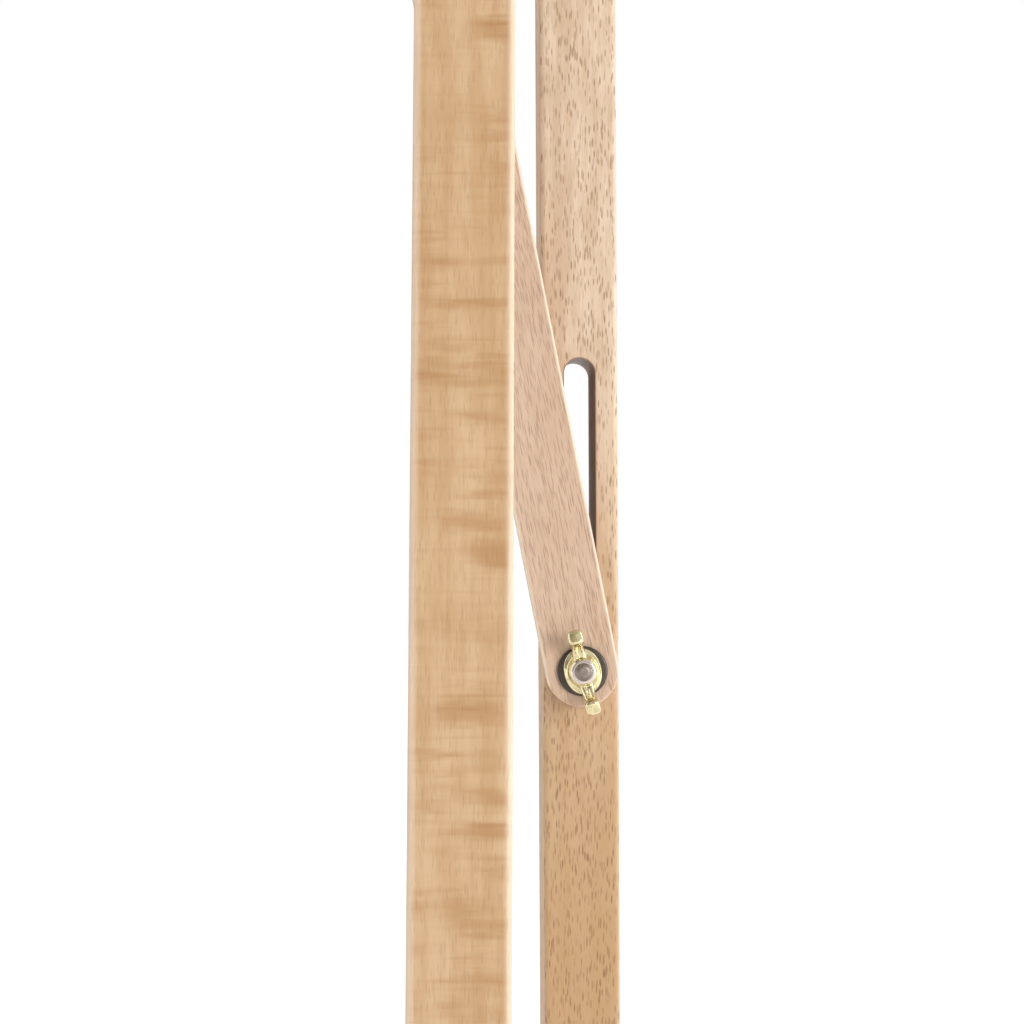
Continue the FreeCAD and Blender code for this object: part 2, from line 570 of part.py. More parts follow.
def build_top_clamp(mast_y):
    """Block that slides on the mast, with a hook over the canvas and a thumb screw."""
    low, high = TOP_CLAMP
    half = TOP_CLAMP_WIDTH / 2
    front = mast_y - TOP_CLAMP_DEPTH / 2
    block = Part.makeBox(TOP_CLAMP_WIDTH, TOP_CLAMP_DEPTH, high - low, V(-half, front, low))
    upright = [e for e in block.Edges if abs(e.tangentAt(0).z) > 0.99]
    block = block.makeFillet(EDGE, upright)
    window_x = MAST_WIDTH + 2 * SLIDE_GAP
    window_y = MAST_THICK + 2 * SLIDE_GAP
    window = Part.makeBox(window_x, window_y, 100, V(-window_x / 2, mast_y - window_y / 2, low - 20))
    block = block.cut(window)
    lip_thick, lip_drop = HOOK_LIP
    hook = Part.makeBox(TOP_CLAMP_WIDTH, HOOK_REACH, HOOK_THICK, V(-half, front - HOOK_REACH, low))
    lip = Part.makeBox(TOP_CLAMP_WIDTH, lip_thick, lip_drop, V(-half, front - HOOK_REACH, low - lip_drop))
    hook = hook.fuse(lip).removeSplitter()
    places = [(V(x, front - HOOK_REACH, low + HOOK_THICK / 2), V(0, 1, 0)) for x in (-18, 18)]
    screws, cutter = set_screws(places, SCREW_LENGTH["hook"])

    screw_z = (low + high) / 2 + 4
    insert_x = window_x / 2
    insert = cylinder(INSERT_RADIUS, V(insert_x, mast_y, screw_z), V(half, mast_y, screw_z))
    block = block.cut(insert)
    insert = insert.cut(cylinder(BOLT_DIA / 2 + RUNNING, V(0, mast_y, screw_z), V(90, mast_y, screw_z)))
    thumb = cylinder(BOLT_DIA / 2, V(0, 0, 0), V(half - MAST_WIDTH / 2 + 6, 0, 0))
    grip = wing_nut().fuse(cylinder(NUT_TOP - 0.3, V(0, 0, 0), V(NUT_HEIGHT, 0, 0)))
    thumb = thumb.fuse(move(grip, V(half - MAST_WIDTH / 2 + 1.5, 0, 0))).removeSplitter()
    nodes["top_clamp_block"] = leant(block.cut(cutter))
    nodes["top_clamp_hook"] = leant(hook.cut(cutter))
    nodes["top_clamp_screws"] = leant(screws)
    nodes["top_clamp_insert"] = leant(insert)
    start = V(MAST_WIDTH / 2 + 0.25, mast_y, screw_z)
    nodes["top_clamp_thumb_screw"] = leant(aim(thumb, start, AXIS_X, NUT_TURN["thumb"]))
    return start


def main():
    rail_y = build_frame()
    build_hinge()
    build_rear_leg()
    pivot, clamp = build_strut(rail_y)
    build_tray()
    mast_y = build_mast()
    thumb = build_top_clamp(mast_y)

    # the origin is the middle of the whole easel's footprint
    whole = FreeCAD.BoundBox()
    for shape in nodes.values():
        whole.add(shape.optimalBoundingBox(False, False))
    shift = V(-(whole.XMin + whole.XMax) / 2, -(whole.YMin + whole.YMax) / 2, -whole.ZMin)
    os.makedirs("parts", exist_ok=True)
    for name, shape in nodes.items():
        placed = move(shape, shift)
        placed.exportStep("parts/" + name + ".step")
    print("size", whole.XLength, whole.YLength, whole.ZLength, "nodes", len(nodes))

    axes = {
        "rear_leg_hinge": hinge_axis(),
        "strut_pivot": pivot,
        "clamp_nut": clamp,
        "tray_nut": leant_point(V(0, 0, TRAY_BOLT)),
        "mast_nut": leant_point(V(0, 0, MAST_BOLT)),
        "thumb_screw": leant_point(thumb),
    }
    for name, place in axes.items():
        placed = place + shift
        print(name, round(placed.x, 3), round(placed.y, 3), round(placed.z, 3))
    print("shift", shift)
    for name, shape in nodes.items():
        if not shape.isValid():
            print("invalid", name)


main()
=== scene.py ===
import json
import math

import bmesh
import bpy
import numpy as np
from mathutils import Euler, Matrix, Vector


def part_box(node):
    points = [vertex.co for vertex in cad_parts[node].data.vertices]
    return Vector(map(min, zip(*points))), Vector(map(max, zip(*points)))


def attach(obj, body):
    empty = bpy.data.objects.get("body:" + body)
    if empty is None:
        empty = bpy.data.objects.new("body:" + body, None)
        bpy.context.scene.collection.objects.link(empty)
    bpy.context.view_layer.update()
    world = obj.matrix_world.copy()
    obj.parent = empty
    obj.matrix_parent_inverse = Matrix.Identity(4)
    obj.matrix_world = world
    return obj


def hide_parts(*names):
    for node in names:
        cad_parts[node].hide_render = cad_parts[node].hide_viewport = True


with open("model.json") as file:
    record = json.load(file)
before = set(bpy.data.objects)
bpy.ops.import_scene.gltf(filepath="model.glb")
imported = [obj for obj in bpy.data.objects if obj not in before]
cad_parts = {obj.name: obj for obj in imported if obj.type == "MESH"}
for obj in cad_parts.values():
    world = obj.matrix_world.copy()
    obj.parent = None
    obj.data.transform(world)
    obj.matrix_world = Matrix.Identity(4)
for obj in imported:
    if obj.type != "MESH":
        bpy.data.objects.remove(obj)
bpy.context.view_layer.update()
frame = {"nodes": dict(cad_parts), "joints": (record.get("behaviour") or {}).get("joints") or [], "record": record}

nodes = frame["nodes"]
joints = {joint["name"]: joint for joint in frame["joints"]}
mm = 0.001
print("frame loaded with", len(nodes), "nodes")


# one output socket of a shader node; arithmetic on it adds Math nodes
class Wire:
    def __init__(self, tree, socket=None):
        self.tree = tree
        self.socket = socket

    # any node: its type, its settings, then the values or links of its sockets
    def node(self, kind, settings, sockets, output=0):
        made = self.tree.nodes.new(kind)
        for name, value in settings.items():
            setattr(made, name, value)
        for key, value in sockets.items():
            if isinstance(value, Wire):
                self.tree.links.new(value.socket, made.inputs[key])
            else:
                made.inputs[key].default_value = value
        return Wire(self.tree, made.outputs[output])

    def sum(self, operation, first, second):
        return self.node("ShaderNodeMath", {"operation": operation}, {0: first, 1: second})

    def __add__(self, other):
        return self.sum("ADD", self, other)

    def __radd__(self, other):
        return self.sum("ADD", other, self)

    def __sub__(self, other):
        return self.sum("SUBTRACT", self, other)

    def __rsub__(self, other):
        return self.sum("SUBTRACT", other, self)

    def __mul__(self, other):
        return self.sum("MULTIPLY", self, other)

    def __rmul__(self, other):
        return self.sum("MULTIPLY", other, self)

    def size(self):
        return self.node("ShaderNodeMath", {"operation": "ABSOLUTE"}, {0: self})

    # 0 below the low value, 1 above the high one, smooth between
    def between(self, low, high):
        settings = {"interpolation_type": "SMOOTHSTEP", "clamp": True}
        return self.node("ShaderNodeMapRange", settings, {"Value": self, "From Min": low, "From Max": high})

    def blend(self, first, second):
        return self.node("ShaderNodeMix", {"data_type": "RGBA"}, {0: self, 6: first, 7: second}, 2)

    def noise(self, place, scale, detail=2.0, rough=0.5):
        sockets = {"Vector": place, "Scale": scale, "Detail": detail, "Roughness": rough}
        return self.node("ShaderNodeTexNoise", {}, sockets)

    def turned(self, place, move=(0, 0, 0), turn=(0, 0, 0), stretch=(1, 1, 1)):
        sockets = {"Vector": place, "Location": move, "Rotation": turn, "Scale": stretch}
        return self.node("ShaderNodeMapping", {}, sockets)


# a new material: its wire and its shader node
def newMaterial(name, shader):
    material = bpy.data.materials.new(name)
    material.use_nodes = True
    tree = material.node_tree
    surface = tree.nodes["Principled BSDF"]
    for key, value in shader.items():
        surface.inputs[key].default_value = value
    return material, Wire(tree), surface


def feed(wire, surface, key):
    wire.tree.links.new(wire.socket, surface.inputs[key])


def bump(wire, height, distance, strength=1.0):
    return wire.node("ShaderNodeBump", {}, {"Height": height, "Distance": distance, "Strength": strength})


def rgb(red, green, blue):
    return (red, green, blue, 1.0)


beech = {
    "pale": rgb(0.76, 0.56, 0.37),
    "deep": rgb(0.66, 0.45, 0.27),
    # painted highlight: the pale cream of lit rounded arrises
    "wornAndHighlight": rgb(0.80, 0.66, 0.52),
    "ray": rgb(0.205, 0.085, 0.030),
    "band": rgb(0.53, 0.31, 0.14),
    "rayAmount": 0.68,       # dark flecks on a flat-sawn face
    "rayWidth": 0.78,        # mm from fleck to fleck across the grain
    "rayLength": 4.4,        # mm from fleck to fleck along the grain
    "rayFill": 0.49,         # share of a cell that the fleck takes
    "fibre": 0.12,           # fine streaks
    "ripple": 0.0,           # bands across a quartered face
    # painted shade: the darker tan that a board's lower part is painted, standing in for the dimmer light near the
    # floor
    "tan": rgb(0.475, 0.28, 0.122),
    "shadeFrom": 0.0,          # mm on the board below which the wood is painted darker and tan as painted shade, 0 for none
    "shadeReach": 170.0,       # mm over which it turns
    "slot": None,            # a machined slot, its walls painted dark as painted shade: its centre line, slope, half width, lowest and highest mm
    "arrisHighlight": 0.6,            # how strongly its arrises are painted pale, a painted highlight of their lit rounded edges
    "arrisHighlightReach": 2.6,       # mm in from both faces
    "gloss": 0.42,
}


# painted shade on the walls of a slot, painted dark as the shadow in its recess: everything nearer the line
# between the centres of its round ends than half its width
def slotWallShade(wire, slot):
    middle, slope, half, low, high = slot
    place = wire.node("ShaderNodeTexCoord", {}, {}, 3)
    across = wire.node("ShaderNodeSeparateXYZ", {}, {0: place}, 1)
    height = wire.node("ShaderNodeSeparateXYZ", {}, {0: place}, 2)
    offset = across + height * slope - middle
    beyond = (height - (low + high) / 2).size() - ((high - low) / 2 - half)
    beyond = wire.node("ShaderNodeMath", {"operation": "MAXIMUM"}, {0: beyond, 1: 0.0})
    distance = wire.node("ShaderNodeMath", {"operation": "SQRT"}, {0: offset * offset + beyond * beyond})
    return 1 - distance.between(half + 0.1 * mm, half + 0.5 * mm)


# painted highlight on the arrises of a board, painted pale as lit rounded edges: near two long faces at once. box
# holds the board's lowest and highest X and Y in its own turned frame, mm
def paintArrisHighlight(wire, place, box, reach):
    gaps = []
    for axis in (0, 1):
        across = wire.node("ShaderNodeSeparateXYZ", {}, {0: place}, axis)
        middle, half = (box[1][axis] + box[0][axis]) / 2, (box[1][axis] - box[0][axis]) / 2
        gaps.append(half - (across - middle).size())
    inner = wire.node("ShaderNodeMath", {"operation": "MAXIMUM"}, {0: gaps[0], 1: gaps[1]})
    return 1 - inner.between(reach * 0.2, reach)


# the board's box after the turn and shift that its material applies
def turnedBox(piece, turn, move):
    points = np.empty(len(piece.data.vertices) * 3)
    piece.data.vertices.foreach_get("co", points)
    turned = points.reshape(-1, 3) / mm @ np.array(Euler(turn).to_matrix()).T + np.array(move, float)
    return turned.min(0), turned.max(0)


# beech: a patchy pale body, long growth streaks, fine fibres, short dark flecks along the grain,
# and on quartered stock soft ripple bands across it.
# turn brings the wood's length to Z, move shifts it to a fresh board
def beechMaterial(name, box, turn=(0, 0, 0), move=(0, 0, 0), **changes):
    look = dict(beech, **changes)
    material, wire, surface = newMaterial(name, {
        "Specular IOR Level": 0.35, "Coat Weight": 0.12, "Coat Roughness": 0.35, "IOR": 1.48})
    place = wire.node("ShaderNodeTexCoord", {}, {}, 3)
    place = wire.turned(place, move, turn, (1 / mm, 1 / mm, 1 / mm))

    wander = wire.noise(wire.turned(place, stretch=(0.02, 0.03, 0.008)), 1.0, 2.0)
    growth = wire.noise(wire.turned(place, stretch=(0.10, 0.16, 0.006)), 1.0, 3.0, 0.55)
    streak = wire.noise(wire.turned(place, stretch=(0.8, 1.2, 0.03)), 1.0, 3.0, 0.6)
    fibre = wire.noise(wire.turned(place, stretch=(2.6, 3.6, 0.22)), 1.0, 3.0, 0.65)

    mottle = wire.noise(wire.turned(place, stretch=(0.10, 0.20, 0.045)), 1.0, 2.0, 0.6)

    body = (growth * 0.4 + wander * 0.25 + mottle * 0.35).between(0.40, 0.60)
    colour = body.blend(look["pale"], look["deep"])
    # painted shade: low on the board the wood is painted darker and tan, for the dimmer light near the floor
    if look["shadeFrom"]:
        along = wire.node("ShaderNodeSeparateXYZ", {}, {0: place}, 2) + wander * 60
        tan = 1 - along.between(look["shadeFrom"] - look["shadeReach"], look["shadeFrom"])
        colour = (tan * 0.85).blend(colour, look["tan"])
    colour = (streak.between(0.42, 0.74) * (look["fibre"] * 2.6)).blend(colour, look["band"])
    colour = (fibre.between(0.46, 0.76) * look["fibre"] * 1.5).blend(colour, look["ray"])

    # each fleck is a cell of a stretched Voronoi pattern, its strength drawn from the cell
    wide, long = look["rayWidth"], look["rayLength"]
    cells = wire.turned(place, stretch=(0.7 / wide, 1 / wide, 1 / long))
    sway = wire.noise(wire.turned(place, stretch=(0.3, 0.3, 0.05)), 1.0, 1.0)
    cells = wire.node("ShaderNodeVectorMath", {"operation": "ADD"}, {0: cells, 1: sway})
    near = wire.node("ShaderNodeTexVoronoi", {}, {"Vector": cells, "Scale": 1.0, "Randomness": 1.0}, 0)
    pick = wire.node("ShaderNodeTexVoronoi", {}, {"Vector": cells, "Scale": 1.0, "Randomness": 1.0}, 1)
    chance = wire.node("ShaderNodeSeparateColor", {}, {0: pick}, 0)
    strength = chance.between(0.0, 0.9)
    ragged = near + (fibre - 0.5) * 0.16
    dash = (1 - ragged.between(look["rayFill"] * 0.5, look["rayFill"])) * strength
    colour = (dash * look["rayAmount"]).blend(colour, look["ray"])

    if look["ripple"]:
        bands = wire.noise(wire.turned(place, stretch=(0.035, 0.030, 0.15)), 1.0, 2.5, 0.5).between(0.44, 0.70)
        fine = wire.turned(place, stretch=(0.05, 0.045, 0.42))
        lines = wire.noise(fine, 1.0, 1.5, 0.5).between(0.50, 0.74)
        broad = wire.noise(wire.turned(place, stretch=(0.02, 0.06, 0.03)), 1.0, 1.0).between(0.3, 0.62)
        figure = (bands + lines * 0.55) * (0.25 + broad * 0.75)
        colour = (figure * look["ripple"]).blend(colour, look["band"])

    # painted highlight: the arrises painted pale cream, as their rounded edges look when lit
    rubbedAndHighlight = paintArrisHighlight(wire, place, box, look["arrisHighlightReach"]) * (look["arrisHighlight"] * (0.5 + streak))
    colour = rubbedAndHighlight.blend(colour, look["wornAndHighlight"])
    # painted shade: the slot's walls painted dark brown, as the shadow inside the slot
    if look["slot"]:
        colour = slotWallShade(wire, look["slot"]).blend(colour, rgb(0.30, 0.165, 0.12))

    feed(colour, surface, "Base Color")
    feed(look["gloss"] + 0.10 * streak + 0.16 * dash, surface, "Roughness")
    height = fibre * 0.45 + streak * 0.3 - dash * 0.8
    feed(bump(wire, height, 0.08 * mm, 0.6), surface, "Normal")
    return material


# plated or polished metal: a base colour with blotches, cast or drawn grain and worn dark patches;
# bare names an attribute of the piece that shows where its plating has rubbed to the metal below
def metalMaterial(name, base, wornAndHighlight, rough, wear=0.35, grain=0.25, blotch=0.6, bare=None):
    material, wire, surface = newMaterial(name, {"Metallic": 1.0, "Specular IOR Level": 0.5})
    place = wire.turned(wire.node("ShaderNodeTexCoord", {}, {}, 3), stretch=(1 / mm, 1 / mm, 1 / mm))
    patches = wire.noise(place, blotch, 4.0, 0.6)
    speck = wire.noise(place, 3.5, 3.0, 0.6)
    stain = patches.between(0.46, 0.74) * wear
    colour = stain.blend(base, wornAndHighlight)
    if bare:
        rubbedAndHighlight = wire.node("ShaderNodeAttribute", {"attribute_name": bare}, {}, 2)
        colour = (rubbedAndHighlight * (0.55 + speck * 0.7)).blend(colour, rgb(0.66, 0.58, 0.53))
    feed(colour, surface, "Base Color")
    feed(rough + 0.22 * stain + 0.12 * speck, surface, "Roughness")
    feed(bump(wire, patches * 0.6 + speck * 0.4, 0.05 * mm, grain), surface, "Normal")
    return material


# moulded rubber: near black, dusty patches and a fine pebbled skin
def rubberMaterial():
    material, wire, surface = newMaterial("footRubber", {"Specular IOR Level": 0.35})
    place = wire.turned(wire.node("ShaderNodeTexCoord", {}, {}, 3), stretch=(1 / mm, 1 / mm, 1 / mm))
    dust = wire.noise(place, 0.12, 4.0, 0.6).between(0.42, 0.75)
    pebble = wire.noise(place, 1.6, 2.0, 0.5)
    feed((dust * 0.5).blend(rgb(0.022, 0.022, 0.023), rgb(0.085, 0.08, 0.075)), surface, "Base Color")
    feed(0.62 + 0.25 * dust, surface, "Roughness")
    feed(bump(wire, pebble, 0.12 * mm, 0.5), surface, "Normal")
    return material


# natural nylon: milky, slightly yellowed
def nylonMaterial():
    material, wire, surface = newMaterial("guideNylon", {"Subsurface Weight": 0.1, "Specular IOR Level": 0.4})
    place = wire.turned(wire.node("ShaderNodeTexCoord", {}, {}, 3), stretch=(1 / mm, 1 / mm, 1 / mm))
    cloud = wire.noise(place, 0.2, 3.0, 0.5)
    feed(cloud.blend(rgb(0.74, 0.71, 0.63), rgb(0.66, 0.62, 0.52)), surface, "Base Color")
    feed(0.4 + 0.15 * cloud, surface, "Roughness")
    feed(bump(wire, cloud, 0.05 * mm, 0.4), surface, "Normal")
    return material


splay = math.radians(9.6)
lean = math.radians(0.5)
strutLean = math.radians(-11.14)
quarterTurn = math.pi / 2

# per board: how it turns to bring its length to Z, a shift to fresh wood, and its own colour and figure
golden = {"pale": rgb(0.595, 0.405, 0.235), "deep": rgb(0.505, 0.315, 0.162),
          "band": rgb(0.415, 0.222, 0.092), "ripple": 0.85, "rayAmount": 0.10, "fibre": 0.06}
pink = {"pale": rgb(0.64, 0.465, 0.34), "deep": rgb(0.575, 0.40, 0.283), "ray": rgb(0.26, 0.135, 0.085),
        "band": rgb(0.47, 0.30, 0.19), "rayWidth": 0.42, "rayLength": 5.5, "rayFill": 0.54,
        "rayAmount": 0.5, "fibre": 0.14, "arrisHighlight": 0.8, "arrisHighlightReach": 1.2}
light = {"pale": rgb(0.72, 0.555, 0.405), "deep": rgb(0.575, 0.405, 0.26), "arrisHighlight": 0.5, "arrisHighlightReach": 2.0}

# the slot of the rear leg runs along the leg, down from the hinge at this slope
legSlot = {"slope": math.tan(math.radians(0.28)), "half": 5.15 * mm, "low": 266.3 * mm, "high": 380.8 * mm}
hinge = joints["rear_leg_hinge"]["pos_m"]
rearSlot = (hinge[1] + hinge[2] * legSlot["slope"], *legSlot.values())

boards = {
    "right_front_leg": dict(turn=(lean, splay, 0), move=(0, 31, 407), **golden),
    "left_front_leg": dict(turn=(lean, -splay, 0), move=(0, 97, 1310), **golden),
    "rear_leg": dict(light, turn=(0, 0, 0), move=(0, 11, 53), shadeFrom=500.0, shadeReach=230.0, slot=rearSlot,
                     pale=rgb(0.72, 0.575, 0.435), deep=rgb(0.575, 0.42, 0.285)),
    "strut": dict(turn=(strutLean, 0, 0), move=(0, 0, 260), **pink),
    "centre_rail": dict(turn=(lean, 0, quarterTurn), move=(170, 0, 80)),
    "mast": dict(turn=(lean, 0, quarterTurn), move=(-240, 0, 640), **light),
    "lower_crossbar": dict(turn=(0, quarterTurn, 0), move=(33, 210, 19)),
    "upper_crossbar": dict(turn=(0, quarterTurn, 0), move=(71, 350, 88), **light),
    "head_block": dict(turn=(0, quarterTurn, 0), move=(12, 420, 190), **golden),
    "tray_shelf": dict(turn=(0, quarterTurn, 0), move=(9, 540, 300), **light),
    "tray_lip": dict(turn=(0, quarterTurn, 0), move=(140, 610, 21)),
    "tray_block": dict(turn=(0, 0, quarterTurn), move=(300, 17, 900), **light),
    "tray_left_cheek": dict(turn=(0, 0, 0), move=(320, 90, 910)),
    "tray_right_cheek": dict(turn=(0, 0, 0), move=(350, 130, 970)),
    "top_clamp_block": dict(turn=(0, quarterTurn, 0), move=(400, 700, 44)),
    "top_clamp_hook": dict(turn=(0, quarterTurn, 0), move=(430, 760, 77), **light),
}


def setMaterial(piece, material):
    piece.data.materials.clear()
    piece.data.materials.append(material)


for name, settings in boards.items():
    box = turnedBox(nodes[name], settings["turn"], settings["move"])
    setMaterial(nodes[name], beechMaterial(name + "_beech", box, **settings))
print("beech on", len(boards), "boards")

brass = metalMaterial("wingBrass", rgb(0.77, 0.68, 0.41), rgb(0.26, 0.20, 0.075), 0.10, 0.45, 0.35,
                      bare="rubbedAndHighlight")
bush = metalMaterial("bushBrass", rgb(0.72, 0.56, 0.27), rgb(0.33, 0.24, 0.10), 0.30)
darkSteel = metalMaterial("washerSteel", rgb(0.085, 0.072, 0.06), rgb(0.04, 0.032, 0.026), 0.24, 0.6)
boltSteel = metalMaterial("boltSteel", rgb(0.27, 0.225, 0.195), rgb(0.13, 0.10, 0.085), 0.36, 0.5)
zinc = metalMaterial("zincSteel", rgb(0.62, 0.61, 0.59), rgb(0.38, 0.35, 0.31), 0.30, 0.45)
slotMaterials = {
    "brass_nut": brass, "brass_bush": bush, "dark_washer": darkSteel, "steel_bolt": boltSteel,
    "steel_screw": zinc, "steel_plate": zinc, "rubber_foot": rubberMaterial(), "nylon_pad": nylonMaterial(),
}
for part in frame["record"]["subparts"]:
    if part["material_slot"] in slotMaterials:
        setMaterial(nodes[part["node"]], slotMaterials[part["material_slot"]])
print("metal, rubber and nylon assigned")


# a mesh from a grid of points: rows along u, columns round v, both as one array, with each end
# closed by a face or the rows joined into a ring
def gridPiece(name, points, ringRows=False):
    rows, columns = points.shape[:2]
    row = np.arange(rows if ringRows else rows - 1)
    column = np.arange(columns)
    here, across = np.meshgrid(row, column, indexing="ij")
    nextRow, nextColumn = (here + 1) % rows, (across + 1) % columns
    quads = np.stack([here * columns + across, here * columns + nextColumn,
                      nextRow * columns + nextColumn, nextRow * columns + across], -1).reshape(-1, 4)
    faces = quads.tolist()
    if not ringRows:
        faces.append(list(range(columns - 1, -1, -1)))
        faces.append(list(range((rows - 1) * columns, rows * columns)))
    mesh = bpy.data.meshes.new(name)
    mesh.from_pydata(points.reshape(-1, 3).tolist(), [], faces)
    mesh.validate()
    return mesh


def addPiece(name, mesh, smooth=True):
    piece = bpy.data.objects.new(name, mesh)
    bpy.context.scene.collection.objects.link(piece)
    tidy = bmesh.new()
    tidy.from_mesh(mesh)
    bmesh.ops.remove_doubles(tidy, verts=tidy.verts, dist=1e-6)
    bmesh.ops.recalc_face_normals(tidy, faces=tidy.faces)
    tidy.to_mesh(mesh)
    tidy.free()
    mesh.polygons.foreach_set("use_smooth", np.full(len(mesh.polygons), smooth))
    return piece


def joinMeshes(name, meshes):
    joined = bmesh.new()
    for mesh in meshes:
        joined.from_mesh(mesh)
    mesh = bpy.data.meshes.new(name)
    joined.to_mesh(mesh)
    joined.free()
    return mesh


# a matrix that carries +X to an axis at a place, after a spin about that axis
def seat(place, axis, spin=0.0):
    ahead = np.array(axis, float) / np.linalg.norm(axis)
    upward = np.array((0.0, 0.0, 1.0)) - ahead[2] * ahead
    upward /= np.linalg.norm(upward)
    side = np.cross(upward, ahead)
    turn = np.eye(4)
    turn[:3, 0], turn[:3, 1], turn[:3, 2], turn[:3, 3] = ahead, side, upward, place
    return Matrix(turn.tolist()) @ Matrix.Rotation(spin, 4, "X")


# an outline of (radius, along) points, millimetres, carried round the X axis; oval stretches its
# outer part along Z and narrows it along Y, by 1 - oval * cos(2 * angle) in full at the outer radius
def revolve(name, outline, columns=72, oval=0.0, inner=0.0, outer=1.0):
    radius, along = np.array(outline, float).T[:, :, None]
    angle = np.linspace(0, 2 * math.pi, columns, endpoint=False)[None, :]
    reach = radius * (1 - oval * np.cos(2 * angle) * np.clip((radius - inner) / (outer - inner), 0, 1))
    points = np.stack([along + 0 * angle, reach * np.cos(angle), reach * np.sin(angle)], -1) * mm
    return gridPiece(name, points, ringRows=True)


# a round corner of an outline: centre, radius, and the two angles in degrees
def corner(centreRadius, centreAlong, size, start, end, steps=6):
    angle = np.radians(np.linspace(start, end, steps))
    return list(zip(centreRadius + size * np.cos(angle), centreAlong + size * np.sin(angle)))


wingNut = {
    "base": 6.85, "oval": 0.11, "rim": 1.1, "neck": 4.4, "top": 3.95, "height": 6.45, "bore": 3.1,
    "lip": 2.0, "lipDeep": 0.85,
    "rootReach": 3.2, "rootRise": 2.6, "bendReach": 8.6, "bendRise": 3.0, "tipReach": 12.3, "tipRise": 11.0,
    "rootWide": 2.5, "waistWide": 1.95, "tipWide": 2.45, "rootDeep": 2.5, "waistDeep": 1.7, "tipDeep": 2.55,
    "groove": 0.7, "grooveWide": 0.30, "grooveEnd": 0.76,
    "waistAt": 0.5, "tipFrom": 0.72, "tipOver": 0.14, "roundFrom": 0.91,   # shares of the wing's length
    "square": 0.62,          # power of the section's sine and cosine: 1 is round, 0 is square
    "rubFrom": 5.6, "rubOut": 4.7,   # the rubbed ring starts at this height and ends at this radius
    "voxel": 0.17,
}


# one wing: a rounded-square section carried along a curve that leaves the hub and sweeps forward.
# section = superellipse of half-width w(s) and half-depth d(s), closed at the tip by a quarter round,
# with a groove down its front face
def wingMesh(side):
    size = wingNut
    s = np.linspace(0, 1, 56)[:, None]
    t = np.linspace(0, 2 * math.pi, 48, endpoint=False)[None, :]
    legs = [(1 - s) ** 2, 2 * s * (1 - s), s ** 2]
    reach = legs[0] * size["rootReach"] + legs[1] * size["bendReach"] + legs[2] * size["tipReach"]
    rise = legs[0] * size["rootRise"] + legs[1] * size["bendRise"] + legs[2] * size["tipRise"]
    slopeReach, slopeRise = np.gradient(reach[:, 0])[:, None], np.gradient(rise[:, 0])[:, None]
    length = np.hypot(slopeReach, slopeRise)
    ease = np.clip((s - size["tipFrom"]) / size["tipOver"], 0, 1)
    swell = ease * ease * (3 - 2 * ease)
    fade = np.clip(s / size["waistAt"], 0, 1)
    wide = size["rootWide"] + (size["waistWide"] - size["rootWide"]) * fade
    wide = wide + (size["tipWide"] - wide) * swell
    deep = size["rootDeep"] + (size["waistDeep"] - size["rootDeep"]) * fade
    deep = deep + (size["tipDeep"] - deep) * swell
    rounding = np.clip(s - size["roundFrom"], 0, 1) / (1 - size["roundFrom"])
    closing = np.clip(1 - rounding ** 3, 0.0, 1) ** 0.4 + 0.004
    across = np.sign(np.cos(t)) * np.abs(np.cos(t)) ** size["square"]
    through = np.sign(np.sin(t)) * np.abs(np.sin(t)) ** size["square"]
    front = np.exp(-(across / size["grooveWide"]) ** 2) * (np.sin(t) > 0)
    front = front * np.clip((size["grooveEnd"] - s) / 0.1, 0, 1)
    depth = closing * (deep * through - size["groove"] * front)
    y = wide * closing * across
    # the section's depth runs along the curve's normal, towards the front and the axis
    normalReach, normalRise = -slopeRise / length, slopeReach / length
    z = reach + depth * normalReach
    x = rise + depth * normalRise
    points = np.stack([x, y * side, z * side], -1) * mm
    return gridPiece("wing", points)


